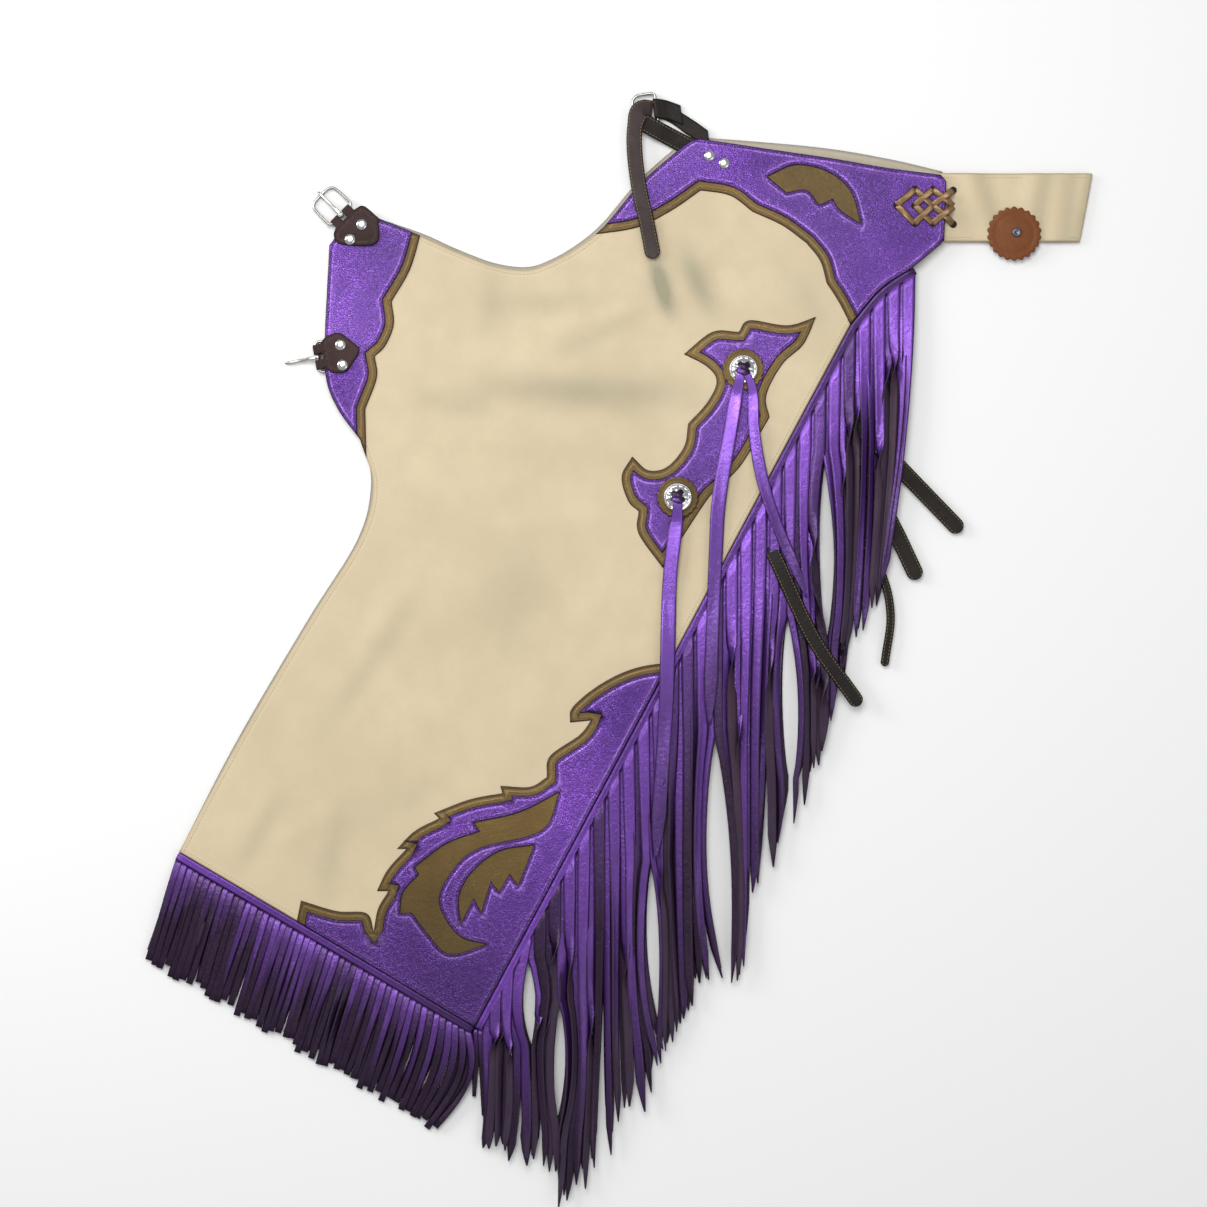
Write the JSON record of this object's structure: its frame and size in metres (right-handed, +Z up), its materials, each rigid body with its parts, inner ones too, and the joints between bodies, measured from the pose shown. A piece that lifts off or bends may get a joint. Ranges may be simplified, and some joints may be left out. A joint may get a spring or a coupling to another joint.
{
  "type": "leather chaps",
  "caption": "Western fringed leather chaps, cream with purple and gold scalloped overlays, folded in half and laid flat.",
  "frame": {"origin": "on the floor under the middle of the folded chaps' bounding box", "axes": "+Z up from the floor they lie on; +Y towards the waist; +X towards the belt's front fold and the side fringe"},
  "size_m": [0.8988, 1.0589, 0.0183],
  "materials": {
    "cream_leather": "smooth matt",
    "purple_leather": "metallic foil grain",
    "gold_leather": "metallic foil grain",
    "flesh_leather": "suede flesh side",
    "dark_leather": "oiled",
    "tan_leather": "polished",
    "chrome": "bright",
    "steel": "bright"
  },
  "bodies": {
    "chaps": {"back_billet": "dark_leather", "back_buckle": "steel", "back_loop": "dark_leather", "back_tail": "dark_leather", "concho_1": "chrome", "concho_2": "chrome", "concho_ring_1": "gold_leather", "concho_ring_2": "gold_leather", "corner_overlay": "purple_leather", "corner_trim": "gold_leather", "front_band": "cream_leather", "hem_fringe": "purple_leather", "lacing": "gold_leather", "leg_strap_1": "dark_leather", "leg_strap_2": "dark_leather", "leg_strap_3": "dark_leather", "leg_strap_4": "dark_leather", "mid_overlay": "purple_leather", "mid_trim": "gold_leather", "rosette": "tan_leather", "rosette_rivet": "steel", "side_fringe": "purple_leather", "string_1": "purple_leather", "string_2": "purple_leather", "string_3": "purple_leather", "tab_rivet_1": "steel", "tab_rivet_2": "steel", "tab_rivet_3": "steel", "tab_rivet_4": "steel", "thigh_overlay": "purple_leather", "thigh_tab_1": "dark_leather", "thigh_tab_2": "dark_leather", "thigh_trim": "gold_leather", "under_hem_fringe": "flesh_leather", "under_leg": "cream_leather", "under_side_fringe": "flesh_leather", "upper_leg": "cream_leather", "yoke": "purple_leather", "yoke_rivet_1": "steel", "yoke_rivet_2": "steel", "yoke_trim": "gold_leather"},
    "frame_1": {"buckle_frame_1": "steel"},
    "tongue_1": {"buckle_tongue_1": "steel"},
    "frame_2": {"buckle_frame_2": "steel"},
    "tongue_2": {"buckle_tongue_2": "steel"}
  },
  "joints": [
    {"name": "frame_swing_1", "type": "hinge", "parent": "chaps", "child": "frame_1", "pos_m": [-0.26371, 0.41357, 0.0056], "axis": [0.7071, 0.7071, 0], "range_deg": [0, 60]},
    {"name": "tongue_swing_1", "type": "hinge", "parent": "frame_1", "child": "tongue_1", "pos_m": [-0.26371, 0.41357, 0.0056], "axis": [0.7071, 0.7071, 0], "range_deg": [0, 58]},
    {"name": "frame_swing_2", "type": "hinge", "parent": "chaps", "child": "frame_2", "pos_m": [-0.28621, 0.27857, 0.0042], "axis": [-0.1736, 0.9848, 0], "range_deg": [0, 165]},
    {"name": "tongue_swing_2", "type": "hinge", "parent": "chaps", "child": "tongue_2", "pos_m": [-0.28621, 0.27857, 0.0042], "axis": [-0.1736, 0.9848, 0], "range_deg": [0, 105]}
  ]
}
